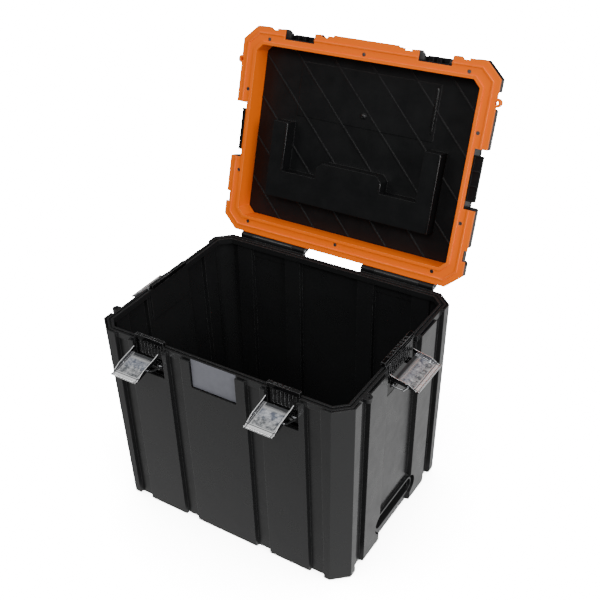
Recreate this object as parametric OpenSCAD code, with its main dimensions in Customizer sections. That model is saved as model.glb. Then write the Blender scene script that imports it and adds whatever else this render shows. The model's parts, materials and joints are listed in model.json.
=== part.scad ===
// Stackable tool case: a deep bin with a corrugated moulded wall, a lid with an inner ring,
// four draw latches and a folding carry handle. Millimetres, +Z up, front at -Y, right at +X.
// Every piece is described round the middle of the bin's floor, with the lid shut. The lid is
// then turned back on its hinge to the open stop, the latches are drawn swung open, and the
// whole is moved so that the origin lies on the floor under the middle of the open case.

/* [Bin] */
// Width over the corner columns at the rim
case_w = 550; // [500:5:620]
// Depth over the corner columns at the rim
case_d = 423; // [390:1:480]
// Height of the bin to the top of its rim
bin_h = 415; // [300:5:480]
// Wall thickness of the bin and the lid
wall = 3; // [2:0.5:4]
// How far each end wall leans in from the rim to the floor
taper_x = 8.5; // [0:0.5:12]
// How far the front and back walls lean in from the rim to the floor
taper_y = 6; // [0:0.5:10]
// Corner chamfer measured along X
chamfer_x = 31; // [24:1:40]
// Corner chamfer measured along Y
chamfer_y = 28.5; // [24:0.5:40]
// Height of the hollow under the floor that nests on a lid below
nest_h = 9; // [7:0.5:14]
// Rounding of the foot edge
foot_round = 3.5; // [1:0.5:5]

/* [Wall channels] */
// Depth of the full-height channels
channel_depth = 9; // [5:0.5:11]
// Width of a channel
channel_w = 33; // [24:1:34]
// Draft of each channel side over its depth
channel_draft = 1.5; // [0.5:0.25:3]
// Centre of the inner front and back channels
channel_inner_x = 86.5; // [84:0.5:90]
// Distance of the outer front and back channels from the case's ends
channel_end_in = 67.5; // [63:0.5:71]
// Distance of the narrow end channels from the front and back
channel_corner_in = 66.5; // [61.5:0.5:72]
// Width of the wide recess in the middle of each end
bay_w = 134; // [128:1:150]

/* [Rim] */
// How far the rim stands back from the column faces
rim_inset = 5.4; // [4:0.2:7]
// Width of the rim across its top
rim_w = 12; // [10:0.5:16]
// Height of the rim band
rim_h = 12; // [8:1:20]
// Drop from the rim's top to the ledge over the wall panels
ledge_drop = 4; // [2:0.5:8]
// Width of the seal groove
groove_w = 4; // [3:0.5:6]
// Depth of the seal groove
groove_depth = 4; // [3:0.5:6]
// Distance of the padlock lug centre out from the column face
lug_out = 1.5; // [1:0.5:4]
// Distance of the padlock lugs from the front
lug_front_in = 68.5; // [61.5:0.5:80]
// Radius of a padlock lug
lug_r = 8; // [7:0.5:10]
// Radius of the padlock hole
lug_hole_r = 3.6; // [3:0.1:4]
// Height of the lug on the bin
lug_h = 8; // [5:1:12]
// Height of the lug on the lid's ring
ring_lug_h = 11.7; // [6:0.1:14]

/* [Label recess] */
// Width of the label recess
label_w = 100; // [60:2:120]
// Height of the label recess below the rim top
label_drop = 63; // [40:1:90]
// Depth of the label recess
label_depth = 6.4; // [4:0.2:7]
// Thickness of the label plate
label_t = 1; // [0.5:0.25:2]
// Gap round the label plate
label_gap = 1; // [0.5:0.25:3]

/* [Hand-holds] */
// Half width of the hand-hold opening
grip_half_w = 74; // [60:1:76]
// Height of the middle of the opening above the floor
grip_z = 44; // [38:1:60]
// Half height of the opening
grip_r = 14; // [12:0.5:16]
// Depth of the opening behind the end recess
grip_depth = 24; // [18:1:34]
// Width of the bead round the opening
bead_w = 4; // [2:0.5:6]
// How far the bead stands out of the recess
bead_h = 5; // [2:0.5:8]
// Margin of the oval bay round the bead
oval_margin = 6; // [4:0.5:8]
// Top of the scoop above the opening's middle
scoop_top = 54; // [40:1:70]
// Depth of the scoop
scoop_depth = 13; // [6:1:16]

/* [Hinge] */
// Opening angle of the lid at its stop
lid_open = 107.2; // [90:0.2:110]
// Distance of the hinge axis behind the column face
hinge_back = 8.7; // [8:0.1:12]
// Height of the hinge axis above the rim
hinge_up = 2.3; // [1:0.1:5]
// Radius of the hinge barrel
barrel_r = 6.5; // [5:0.25:7]
// Radius of the hinge pin
hinge_pin_r = 2.5; // [1.5:0.25:3.5]
// Distance of each hinge's centre from the case's ends
hinge_end_in = 129; // [120:1:140]
// Width of a whole hinge
hinge_w = 158; // [120:2:170]
// Width of the knuckle on the bin
knuckle_w = 96; // [60:2:110]
// Gap between neighbouring knuckles
knuckle_gap = 0.4; // [0.3:0.1:1]
// Running clearance of every pin in its bore
pin_clear = 0.05; // [0.04:0.01:0.1]

/* [Lid] */
// How far the lid stands out beyond the column faces
lid_over = 1.5; // [0:0.5:3]
// Height of the lid's top above the rim
lid_h = 45; // [40:1:60]
// Height of the lid's upright edge above the rim
edge_h = 20; // [18:1:26]
// Height of the shoulder that a stacked bin stands on
shoulder_h = 36; // [30:1:40]
// How far the sloped edge runs in
shoulder_in = 8; // [5:0.5:10]
// Depth of the channels in the lid's edge
lid_channel_depth = 6; // [3:0.5:7]
// Gap between the lid and the rim when shut
shut_gap = 0.3; // [0.2:0.1:0.6]
// How far the stacking platform stands back from a column face
platform_inset = 22; // [20:1:30]
// Pitch of the diagonal ribs inside the lid, measured along X
rib_pitch = 85; // [60:5:120]
// Width of a diagonal rib
rib_w = 3; // [2:0.5:5]
// Height of a diagonal rib
rib_h = 1.6; // [1:0.2:3]
// Half width of the shallow panel in the lid's top
panel_half_w = 150; // [120:2:170]
// Depth of the shallow panel
panel_depth = 1.2; // [0.6:0.2:1.6]
// Front end of the shallow panel
panel_y_front = -152; // [-160:2:-140]
// Back end of the shallow panel
panel_y_back = -49; // [-70:1:-40]

/* [Lid ring] */
// Thickness of the ring's flange
flange_t = 4; // [3:0.5:6]
// Width of the flange from the lid's edge to the opening
flange_w = 35; // [30:1:40]
// Thickness of the ring's inner wall
ring_wall = 3; // [2:0.5:4]
// Height of the bead at the ring's opening
ring_bead_h = 3; // [1:0.5:4]
// Width of the bead at the ring's opening
ring_bead_w = 6; // [4:0.5:8]
// Corner chamfer of the ring's opening
opening_chamfer = 14; // [8:1:20]
// Height of the tongue over the seal groove
tongue_h = 2; // [1:0.25:3]
// Width of the tongue
tongue_w = 2.4; // [1.5:0.2:3]
// Depth of the opening lip at the front
lip_out = 3; // [0:0.5:5]
// Half width of the opening lip
lip_half_w = 70; // [50:1:72]

/* [Ring screws] */
// Distance of the corner screws from the case's ends
screw_end_in = 60; // [53:1:70]
// Distance of the screws from the lid's front and back edges
screw_in_y = 23.5; // [22:0.5:25]
// Screw places along Y on the end runs
screw_y = 85; // [78:1:95]
// Distance of the screws from the lid's ends
screw_in_x = 23.5; // [22:0.5:25]
// Radius of the screw shank
screw_r = 1.8; // [1.2:0.1:2.2]
// Radius of the screw head
screw_head_r = 3.6; // [3:0.1:4.2]
// Length of the screw shank
screw_len = 14; // [8:1:20]
// Radius of the boss that takes a screw
screw_boss_r = 4.8; // [4:0.2:6]

/* [Latches] */
// Distance of the front latches' centres from the case's ends
latch_end_in = 129; // [127:1:131]
// Width of a front lever
front_lever_w = 58; // [50:1:60]
// Width of an end lever
end_lever_w = 94; // [80:1:96]
// Distance from the hook's top to the pivot on a front lever
front_reach = 30; // [28:1:32]
// Distance from the hook's top to the pivot on an end lever
end_reach = 30; // [28:1:34]
// Length of a front lever
front_lever_len = 63; // [58:1:66]
// Length of an end lever
end_lever_len = 50; // [46:1:56]
// Height of the foot that is set back at a lever's free end
lever_foot_h = 9; // [7:0.5:11]
// Radius of the rolled edge at a lever's free end
lever_roll_r = 1.9; // [1.5:0.1:2.2]
// How far a lever's side flanges run on past its hook
lever_ear = 7; // [3:0.5:7.5]
// Distance of the hook from each side of a lever
hook_side_in = 18; // [16:0.5:20]
// Thickness of the lever's sheet metal
sheet_t = 1.5; // [1:0.1:2]
// Height of the lever's raised side flanges
lever_flange = 7.5; // [6:0.5:9]
// Distance of the lever's plate behind its pivot
plate_in = 2; // [1.8:0.1:2.5]
// Drop of the hook's lip
hook_drop = 3; // [2.5:0.25:4]
// Thickness of the ridge that the hook drops behind
ridge_t = 2.5; // [2:0.1:3]
// Gap between the ridge and the hook's lip
hook_gap = 0.7; // [0.4:0.1:1]
// Radius of the wire link
wire_r = 1.6; // [1.2:0.1:2]
// Depth of the latch pocket behind the column face
pocket_depth = 12; // [11:0.5:13]
// Height of the latch pocket below the rim top
pocket_drop = 67; // [60:1:80]
// Gap from the lever's flange to the pocket's side
pocket_side_gap = 5; // [4:0.5:8]
// Height of the lower pivot below the rim top
pivot_drop = 41; // [38:1:46]
// Depth of the lower pivot behind the column face
pivot_in = 2; // [0:0.25:4]
// Height of a front hook's top above the rim when shut
front_hook_up = 33.5; // [32:0.5:35]
// Height of an end hook's top above the rim when shut
end_hook_up = 20.5; // [19:0.5:23]
// How far an end link's arms bow down at rest
end_link_bow = 6.5; // [1:0.5:7]
// How far a front link's arms bow down at rest
front_link_bow = 2; // [1:0.5:6]
// Depth of the shut lever's pivot behind the column face
shut_pivot_in = 2.5; // [2:0.25:3.5]
// Height of the housing above the rim
housing_up = 9; // [6:0.5:9.5]
// Where a front housing's raised top starts behind the column face
front_top_in = 8; // [7:0.5:10]
// Where an end housing's raised top starts behind the column face
end_top_in = 12; // [8:0.5:14]
// How far a front housing reaches back over the rim
front_housing_back = 15.5; // [14:0.5:16]
// How far an end housing reaches back over the rim
end_housing_back = 20; // [18:0.5:22]
// Depth of the front notches in the lid and ring
front_notch = 16.4; // [16:0.2:18]
// Depth of the end notches in the lid and ring
end_notch = 22.5; // [20:0.5:24]
// Rest angle of a front link above level
front_link_rest = 23.2; // [15:0.2:30]
// Rest angle of an end link above level
end_link_rest = 14.3; // [5:0.1:20]
// Rest slope of a lever below level
lever_rest = 12; // [5:1:20]
// Rest slope of the left lever below level
left_lever_rest = 20; // [5:1:25]

/* [Carry handle] */
// Distance of the handle's arms from the case's ends
arm_end_in = 105; // [103:1:125]
// Width of an arm
arm_w = 22; // [16:1:24]
// Thickness of an arm
arm_t = 16; // [12:1:20]
// Place of the handle's pivot along Y
handle_y = -15; // [-30:1:0]
// Place of the grip's middle along Y
grip_y = 100; // [80:1:102]
// Width of the grip along Y
grip_w = 28; // [20:1:32]
// Thickness of the grip
grip_t = 22; // [16:1:24]
// Radius of the handle pin
handle_pin_r = 3; // [2:0.25:4]
// Side clearance of the handle in its well
well_gap = 3; // [2:0.5:5]
// Depth of the well below the lid's top
well_depth = 32; // [28:1:34]

/* [Hidden] */
// Facets of a round, of a wire, and of a screw or its hole
$fn = 20;
wire_fn = 16;
screw_fn = 10;
// Overlap that makes joined solids one and cuts run clear through
eps = 0.5;
// Share of an inset by which a corner chamfer shrinks, so that its wall stays as thick
chamfer_share = 2 - sqrt(2);
chamfer_mean = (chamfer_x + chamfer_y) / 2;
half_w = case_w / 2;
half_d = case_d / 2;
channel_outer_x = half_w - channel_end_in;
channel_side_y = half_d - channel_corner_in;
lug_y = lug_front_in - half_d;
hinge_x = half_w - hinge_end_in;
screw_x = half_w - screw_end_in;
latch_x = half_w - latch_end_in;
arm_x = half_w - arm_end_in;
floor_top = nest_h + wall;
lid_w = half_w + lid_over;
lid_d = half_d + lid_over;
hinge_y = half_d + hinge_back;
hinge_z = bin_h + hinge_up;
flange_z = bin_h + shut_gap;
shell_z = flange_z + flange_t;
panel_z = bin_h + lid_h - wall;
open_w = lid_w - flange_w;
open_d = lid_d - flange_w;
front_cuts = [for (x = [-channel_outer_x, -channel_inner_x, channel_inner_x, channel_outer_x])
    [x, channel_w]];
end_cuts = [[-channel_side_y, channel_w], [0, bay_w], [channel_side_y, channel_w]];
lid_end_cuts = [[-channel_side_y, channel_w], [channel_side_y, channel_w]];
rim_front_half = channel_outer_x + channel_w / 2;
rim_end_half = channel_side_y + channel_w / 2;
front_pocket_w = front_lever_w + 2 * pocket_side_gap;
end_pocket_w = end_lever_w + 4 * pocket_side_gap;
screw_spots = concat([for (x = [-screw_x, 0, screw_x]) for (s = [-1, 1]) [x, s * (lid_d - screw_in_y)]],
    [for (s = [-1, 1]) for (y = [-screw_y, screw_y]) [s * (lid_w - screw_in_x), y]]);

// A chamfered rectangle, anticlockwise, shrunk by an inset
function octagon(hw, hd, inset) =
    let (shrink = 1 - chamfer_share * inset / chamfer_mean, w = hw - inset, d = hd - inset,
        cx = chamfer_x * shrink, cy = chamfer_y * shrink)
    [[cx - w, -d], [w - cx, -d], [w, cy - d], [w, d - cy], [w - cx, d], [cx - w, d], [-w, d - cy],
        [-w, cy - d]];

// Plan of one channel at place c on a side that lies out from the middle, turned by quarter turns
function quarter(p, turns) = turns == 0 ? p : quarter([-p[1], p[0]], turns - 1);

function groove_plan(c, w, out, depth, grow, turns) =
    let (half = w / 2 + grow, lean = channel_draft / depth)
    [for (p = [[c - half - lean, -out - 1], [c + half + lean, -out - 1],
        [c + half - channel_draft, depth + grow - out], [c - half + channel_draft, depth + grow - out]])
        quarter(p, turns)];

// Channels up all four sides; the path lists height, half width and half depth of the body
module grooves(path, cuts_x, cuts_y, depth, grow) {
    heights = [for (l = path) l[0]];
    for (turns = [0, 2])
        for (c = cuts_x)
            loft([for (l = path) groove_plan(c[0], c[1], l[2], depth, grow, turns)], heights);
    for (turns = [1, 3])
        for (c = cuts_y)
            loft([for (l = path) groove_plan(c[0], c[1], l[1], depth, grow, turns)], heights);
}

// Half sizes of the bin's outside at a height
function bin_hw(z) = half_w - taper_x * (1 - z / bin_h);
function bin_hd(z) = half_d - taper_y * (1 - z / bin_h);
bin_path = [[-2, bin_hw(-2), bin_hd(-2)], [bin_h + 2, bin_hw(bin_h + 2), bin_hd(bin_h + 2)]];

// A solid skinned over rings of points with equal counts
module skin(rings) {
    n = len(rings[0]);
    m = len(rings);
    sides = [for (k = [0:m - 2]) for (i = [0:n - 1])
        [k * n + i, (k + 1) * n + i, (k + 1) * n + (i + 1) % n, k * n + (i + 1) % n]];
    bottom = [for (i = [0:n - 1]) i];
    top = [for (i = [0:n - 1]) m * n - 1 - i];
    polyhedron([for (ring = rings) each ring], concat([bottom, top], sides));
}

// A solid through a stack of outlines, lowest first
module loft(outlines, heights) {
    skin([for (k = [0:len(heights) - 1]) [for (p = outlines[k]) [p[0], p[1], heights[k]]]]);
}

module block(low, high) {
    translate(low)
        cube(high - low);
}

module band(z0, z1, outer, inner) {
    translate([0, 0, z0])
        linear_extrude(z1 - z0)
            difference() {
                polygon(outer);
                polygon(inner);
            }
}

// A slot with round ends that runs along Y and is cut along X
module stadium(x0, x1, z, half_len, r) {
    block([x0, r - half_len, z - r], [x1, half_len - r, z + r]);
    for (s = [-1, 1])
        translate([x0, s * (half_len - r), z])
            rotate([0, 90, 0])
                cylinder(h = x1 - x0, r = r);
}

module both_ends() {
    children();
    mirror([1, 0, 0])
        children();
}

// A profile in the YZ plane drawn out along X
module along_x(x0, x1, profile) {
    translate([x0, 0, 0])
        rotate([90, 0, 90])
            linear_extrude(x1 - x0)
                polygon(profile);
}

module rod_x(x0, x1, y, z, r) {
    translate([x0, y, z])
        rotate([0, 90, 0])
            cylinder(h = x1 - x0, r = r);
}

// Places of the four latches: each is drawn facing the front, at the rim top
module at_front(x) {
    translate([x, -half_d, bin_h])
        children();
}

module at_end(s) {
    translate([s * half_w, 0, bin_h])
        rotate([0, 0, s * 90])
            children();
}

module at_each_latch_pair() {
    for (s = [-1, 1])
        at_front(s * latch_x)
            children(0);
    for (s = [-1, 1])
        at_end(s)
            children(1);
}

module opened() {
    translate([0, hinge_y, hinge_z])
        rotate([-lid_open, 0, 0])
            translate([0, -hinge_y, -hinge_z])
                children();
}

// Bin
recess_x = bin_hw(grip_z) - channel_depth;
bay_half_h = grip_r + bead_w + oval_margin;
grip_back = recess_x - grip_depth;

// The tapered box; each level gives its height and how far it is inset
module bin_box(levels) {
    loft([for (l = levels) octagon(bin_hw(l[0]), bin_hd(l[0]), l[1])], [for (l = levels) l[0]]);
}

module bin_walls() {
    difference() {
        bin_box([[0, foot_round], [foot_round / 3, foot_round / 3], [foot_round, 0], [bin_h, 0]]);
        grooves(bin_path, front_cuts, end_cuts, channel_depth, 0);
        difference() {
            union() {
                bin_box([[floor_top, wall + foot_round], [floor_top + foot_round, wall],
                    [bin_h + eps, wall]]);
                bin_box([[-eps, wall + foot_round], [nest_h, wall]]);
            }
            grooves(bin_path, front_cuts, end_cuts, channel_depth, wall);
        }
        for (s = [-1, 1]) {
            block([-rim_front_half, s > 0 ? half_d - rim_inset : -half_d - eps, bin_h - ledge_drop],
                [rim_front_half, s > 0 ? half_d + eps : rim_inset - half_d, bin_h + eps]);
            block([s > 0 ? half_w - rim_inset : -half_w - eps, -rim_end_half, bin_h - ledge_drop],
                [s > 0 ? half_w + eps : rim_inset - half_w, rim_end_half, bin_h + eps]);
        }
    }
}

module rim() {
    band(bin_h - rim_h, bin_h, octagon(half_w, half_d, rim_inset),
        octagon(half_w, half_d, rim_inset + rim_w));
}

// Groove in the rim's top that the ring's tongue dips into
module seal_groove() {
    land = (rim_w - groove_w) / 2;
    band(bin_h - groove_depth, bin_h + eps, octagon(half_w, half_d, rim_inset + land),
        octagon(half_w, half_d, rim_inset + rim_w - land));
}

module grip_body() {
    foot = floor_top - eps;
    rotate([90, 0, 0])
        translate([0, 0, -grip_half_w - bead_w])
            linear_extrude(2 * (grip_half_w + bead_w))
                polygon([[recess_x - wall + eps, foot], [grip_back - wall, foot],
                    [grip_back - wall, grip_z + grip_r + wall],
                    [recess_x - scoop_depth - wall, grip_z + grip_r + wall + bead_w + 6],
                    [recess_x - wall + eps, grip_z + scoop_top + wall]]);
}

module grip_cuts() {
    lip_top = grip_z + grip_r + bead_w + 3;
    stadium(recess_x, half_w + eps, grip_z, grip_half_w + bead_w + oval_margin, bay_half_h);
    rotate([90, 0, 0])
        translate([0, 0, -bay_w / 2 + channel_draft])
            linear_extrude(bay_w - 2 * channel_draft)
                polygon([[recess_x - scoop_depth, lip_top], [recess_x + eps, lip_top],
                    [recess_x + eps, grip_z + scoop_top]]);
}

module grip_bead() {
    difference() {
        stadium(recess_x - eps, recess_x + bead_h, grip_z, grip_half_w + bead_w, grip_r + bead_w);
        stadium(recess_x - 2 * eps, recess_x + bead_h + eps, grip_z, grip_half_w, grip_r);
    }
}

module latch_pocket(w) {
    block([-w / 2, -eps, -pocket_drop], [w / 2, pocket_depth, eps]);
}

module latch_pocket_back(w) {
    block([-w / 2 - wall, channel_depth, -pocket_drop - wall],
        [w / 2 + wall, rim_inset + rim_w, 0]);
}

module padlock_lug(z0, z1) {
    translate([half_w + lug_out, lug_y, z0])
        cylinder(h = z1 - z0, r = lug_r);
    block([half_w - rim_inset - 1, lug_y - lug_r, z0], [half_w + lug_out, lug_y + lug_r, z1]);
}

module padlock_hole() {
    translate([half_w + lug_out, lug_y, bin_h - lug_h - eps])
        cylinder(h = lug_h + shut_gap + ring_lug_h + 2 * eps, r = lug_hole_r);
}

// Base knuckle with the stop that the open lid leans on
stop_out = 17;
stop_in = 10;
function stop_top(out) =
    let (run = (out + (hinge_back - lid_over) * cos(lid_open)) / sin(lid_open))
    hinge_z + (hinge_back - lid_over) * sin(lid_open) + run * cos(lid_open) - shut_gap;

module bin_knuckle() {
    x0 = hinge_x - knuckle_w / 2;
    x1 = hinge_x + knuckle_w / 2;
    root_y = half_d - rim_inset - 1;
    rod_x(x0, x1, hinge_y, hinge_z, barrel_r);
    along_x(x0, x1, [[root_y, bin_h - 34], [root_y + wall, bin_h - 34], [hinge_y + 2, bin_h - 16],
        [hinge_y + stop_out, bin_h - 4], [hinge_y + stop_out, stop_top(stop_out)],
        [hinge_y + stop_in, stop_top(stop_in)], [hinge_y + barrel_r - 1, hinge_z],
        [hinge_y - barrel_r + 1, hinge_z], [hinge_y - barrel_r + 1, bin_h - 3], [root_y, bin_h - 3]]);
}

// Stiffening ribs under the floor
module nest_ribs() {
    rib_drop = 2.5;
    end_x = bin_hw(0) - channel_depth - wall;
    end_y = bin_hd(0) - channel_depth - wall;
    for (share = [-1 / 2, 0, 1 / 2]) {
        translate([share * end_x, 0, nest_h - rib_drop])
            block([-1, -end_y, 0], [1, end_y, rib_drop + eps]);
        translate([0, share * end_y, nest_h - rib_drop])
            block([-end_x, -1, 0], [end_x, 1, rib_drop + eps]);
    }
}

module bin_shell() {
    color("#1c1d1f")
        difference() {
            union() {
                bin_walls();
                rim();
                nest_ribs();
                at_each_latch_pair() {
                    latch_pocket_back(front_pocket_w);
                    latch_pocket_back(end_pocket_w);
                }
                both_ends() {
                    padlock_lug(bin_h - lug_h, bin_h);
                    grip_body();
                    bin_knuckle();
                }
            }
            at_each_latch_pair() {
                latch_pocket(front_pocket_w);
                latch_pocket(end_pocket_w);
            }
            block([-label_w / 2, -half_d - eps, bin_h - label_drop],
                [label_w / 2, label_depth - half_d, bin_h + eps]);
            seal_groove();
            both_ends() {
                padlock_hole();
                grip_cuts();
                stadium(grip_back, recess_x + eps, grip_z, grip_half_w, grip_r);
                rod_x(hinge_x - hinge_w / 2, hinge_x + hinge_w / 2, hinge_y, hinge_z,
                    hinge_pin_r + pin_clear);
            }
        }
    color("#1c1d1f")
        both_ends()
            grip_bead();
}

module label_plate() {
    color("#a8a8b2")
        block([-label_w / 2 + label_gap, label_depth - half_d - label_t, bin_h - label_drop + label_gap],
            [label_w / 2 - label_gap, label_depth - half_d, bin_h - label_gap]);
}

// Lid
shoulder_slope = shoulder_in / (shoulder_h - edge_h);
lid_path = [[shell_z - 2, lid_w, lid_d], [bin_h + edge_h, lid_w, lid_d],
    [bin_h + shoulder_h + 2, lid_w - shoulder_in - 2 * shoulder_slope,
        lid_d - shoulder_in - 2 * shoulder_slope]];

module lid_outside() {
    difference() {
        loft([octagon(lid_w, lid_d, 0), octagon(lid_w, lid_d, 0), octagon(lid_w, lid_d, shoulder_in)],
            [shell_z, bin_h + edge_h, bin_h + shoulder_h]);
        grooves(lid_path, front_cuts, lid_end_cuts, lid_channel_depth, 0);
    }
    loft([octagon(half_w, half_d, platform_inset), octagon(half_w, half_d, platform_inset),
        octagon(half_w, half_d, platform_inset + 1.5)],
        [bin_h + shoulder_h - eps, bin_h + lid_h - 1.5, bin_h + lid_h]);
}

module lid_inside() {
    difference() {
        loft([octagon(lid_w, lid_d, wall), octagon(lid_w, lid_d, wall),
            octagon(lid_w, lid_d, shoulder_in + wall)],
            [shell_z - eps, bin_h + edge_h - wall / 2, bin_h + shoulder_h - wall]);
        grooves(lid_path, front_cuts, lid_end_cuts, lid_channel_depth, wall);
    }
    translate([0, 0, bin_h + shoulder_h - wall - eps])
        linear_extrude(lid_h - shoulder_h + eps)
            polygon(octagon(half_w, half_d, platform_inset + wall));
}

module lid_notch(w, depth, grow) {
    block([-w / 2 - grow, -lid_over - eps, shut_gap - eps],
        [w / 2 + grow, depth + grow, shoulder_h + eps]);
}

module lid_notches(grow) {
    at_each_latch_pair() {
        lid_notch(front_pocket_w, front_notch, grow);
        lid_notch(end_pocket_w, end_notch, grow);
    }
}

// Ledge with a ridge that a lever's hook drops behind, and gussets under it
catch_in = shut_pivot_in + plate_in + sheet_t + 0.6;

module catch(w, depth, hook_up) {
    half = w / 2 - sheet_t - 2.5;
    ledge_up = hook_up - hook_drop - 0.6;
    ridge_up = hook_up - sheet_t - 0.4;
    block([-half, catch_in, ledge_up - 4], [half, depth + eps, ledge_up]);
    block([-half, catch_in, ledge_up - eps], [half, catch_in + ridge_t, ridge_up]);
    for (x = [-half : (2 * half - 2) / 3 : half - 1])
        block([x, catch_in + 1, housing_up + 0.6], [x + 2, depth + eps, ledge_up - 3]);
}

// Plan of the U-shaped handle well with its finger bay, shrunk by an inset
module well_plan(inset) {
    outer = arm_x + arm_w / 2 + well_gap + wall - inset;
    inner = arm_x - arm_w / 2 - well_gap - wall + inset;
    front = handle_y - arm_t / 2 - 2 * well_gap - wall + inset;
    back = grip_y + grip_w / 2 + 2.5 * well_gap + wall - inset;
    bar = grip_y - grip_w / 2 - 12 - 2 * wall + inset;
    bay = bar - 33;
    hump = 74 - inset;
    polygon([[-outer, front], [-inner, front], [-inner, bar], [-hump, bar], [-hump, bay + 12],
        [12 - hump, bay], [hump - 12, bay], [hump, bay + 12], [hump, bar], [inner, bar],
        [inner, front], [outer, front], [outer, back], [-outer, back]]);
}

module well_skin() {
    translate([0, 0, bin_h + lid_h - well_depth - wall])
        linear_extrude(well_depth)
            well_plan(0);
}

module well_space() {
    translate([0, 0, bin_h + lid_h - well_depth])
        linear_extrude(well_depth + eps)
            well_plan(wall);
}

module shallow_panel(z0, z1, grow) {
    block([-panel_half_w - grow, panel_y_front - grow, z0], [panel_half_w + grow, panel_y_back + grow, z1]);
}

module diagonal_ribs() {
    reach = open_w + open_d;
    count = floor(reach / rib_pitch);
    intersection() {
        block([-open_w + 1, -open_d + 1, panel_z - rib_h], [open_w - 1, open_d - 1, panel_z + eps]);
        for (k = [-count : count])
            translate([k * rib_pitch, 0, panel_z - rib_h])
                rotate([0, 0, 45])
                    block([-reach, -rib_w / 2, 0], [reach, rib_w / 2, rib_h + eps]);
    }
}

module lid_knuckles() {
    outer = hinge_x + hinge_w / 2;
    inner = hinge_x - hinge_w / 2;
    root_y = lid_d - lid_channel_depth - 1;
    bin_half = knuckle_w / 2 + knuckle_gap;
    for (span = [[inner, hinge_x - bin_half], [hinge_x + bin_half, outer]]) {
        rod_x(span[0], span[1], hinge_y, hinge_z, barrel_r);
        along_x(span[0], span[1], [[hinge_y - barrel_r + 1, hinge_z + 1],
            [hinge_y + barrel_r - 0.5, hinge_z + 2], [hinge_y + 1, bin_h + edge_h - 3],
            [root_y, bin_h + edge_h - 1], [root_y, shell_z], [lid_d + 0.5, shell_z]]);
    }
}

module lid_body() {
    pin_seat = arm_w / 2 + well_gap + wall - eps;
    difference() {
        union() {
            difference() {
                lid_outside();
                lid_inside();
            }
            intersection() {
                lid_outside();
                lid_notches(wall);
            }
            for (p = screw_spots)
                translate([p[0], p[1], shell_z])
                    cylinder(h = bin_h + shoulder_h - wall + eps - shell_z, r = screw_boss_r, $fn = screw_fn);
            well_skin();
            diagonal_ribs();
            shallow_panel(panel_z - panel_depth, panel_z + eps, wall);
            both_ends()
                lid_knuckles();
            translate([0, -70, panel_z - 3])
                cylinder(h = 3 + eps, r = 6);
        }
        lid_notches(0);
        well_space();
        shallow_panel(bin_h + lid_h - panel_depth, bin_h + lid_h + eps, 0);
        for (p = screw_spots)
            translate([p[0], p[1], shell_z - eps])
                cylinder(h = screw_len + 1, r = screw_r + 0.2, $fn = screw_fn);
        both_ends()
            rod_x(hinge_x - hinge_w / 2 - eps, hinge_x + hinge_w / 2 + eps, hinge_y, hinge_z,
                hinge_pin_r + pin_clear);
        for (s = [-1, 1])
            rod_x(s * arm_x - pin_seat, s * arm_x + pin_seat, handle_y, handle_z, handle_pin_r + pin_clear);
    }
    at_each_latch_pair() {
        catch(front_lever_w, front_notch, front_hook_up);
        catch(end_lever_w, end_notch, end_hook_up);
    }
}

module lid_shell() {
    color("#1c1d1f")
        opened()
            lid_body();
}

// Opening of the ring, grown by a width
module opening_plan(grow) {
    w = open_w + grow;
    d = open_d + grow;
    c = opening_chamfer + chamfer_share * grow;
    polygon([[-w + c, -d], [w - c, -d], [w, -d + c], [w, d - c], [w - c, d], [-w + c, d],
        [-w, d - c], [-w, -d + c]]);
}

// Lug over the bin's; above the flange it stands clear of the lid's channel
module ring_lug() {
    padlock_lug(flange_z, flange_z + flange_t - shut_gap);
    intersection() {
        padlock_lug(flange_z, flange_z + ring_lug_h);
        block([lid_w - lid_channel_depth + eps, -half_d, flange_z], [case_w, 0, flange_z + ring_lug_h]);
    }
}

module ring_body() {
    wall_top = panel_z - shut_gap;
    difference() {
        union() {
            translate([0, 0, flange_z])
                linear_extrude(flange_t - shut_gap)
                    polygon(octagon(lid_w, lid_d, 0));
            translate([0, 0, flange_z + eps])
                linear_extrude(wall_top - flange_z - eps)
                    opening_plan(ring_wall);
            translate([0, 0, flange_z - ring_bead_h])
                linear_extrude(ring_bead_h + eps)
                    opening_plan(ring_bead_w);
            band(flange_z - tongue_h, flange_z + eps,
                octagon(half_w, half_d, rim_inset + (rim_w - tongue_w) / 2),
                octagon(half_w, half_d, rim_inset + (rim_w + tongue_w) / 2));
            block([-lip_half_w, -lid_d - lip_out, flange_z],
                [lip_half_w, -lid_d + 1, flange_z + flange_t - shut_gap]);
            both_ends()
                ring_lug();
        }
        translate([0, 0, flange_z - ring_bead_h - eps])
            linear_extrude(lid_h + ring_bead_h)
                opening_plan(0);
        lid_notches(0.2);
        at_each_latch_pair() {
            translate([0, 0, -tongue_h])
                lid_notch(front_pocket_w, rim_inset + rim_w, 0.2);
            translate([0, 0, -tongue_h])
                lid_notch(end_pocket_w, end_notch, 0.2);
        }
        for (p = screw_spots)
            translate([p[0], p[1], flange_z - eps]) {
                cylinder(h = flange_t + 2 * eps, r = screw_r + 0.3, $fn = screw_fn);
                cylinder(h = 2 + eps, r = screw_head_r + 0.4, $fn = screw_fn);
            }
        both_ends() {
            padlock_hole();
            block([lid_w - 7, channel_side_y - 11, flange_z - eps],
                [lid_w + eps, channel_side_y + 11, shell_z + eps]);
            for (x = [channel_inner_x + 3.5, channel_outer_x - 2])
                block([x - 7, -lid_d - eps, flange_z - eps], [x + 7, 3.5 - lid_d, shell_z + eps]);
        }
        block([-channel_outer_x, lid_d - 2, flange_z - tongue_h - eps],
            [channel_outer_x, lid_d + eps, flange_z]);
    }
}

module lid_ring() {
    color("#f0822d")
        opened()
            ring_body();
}

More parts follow.
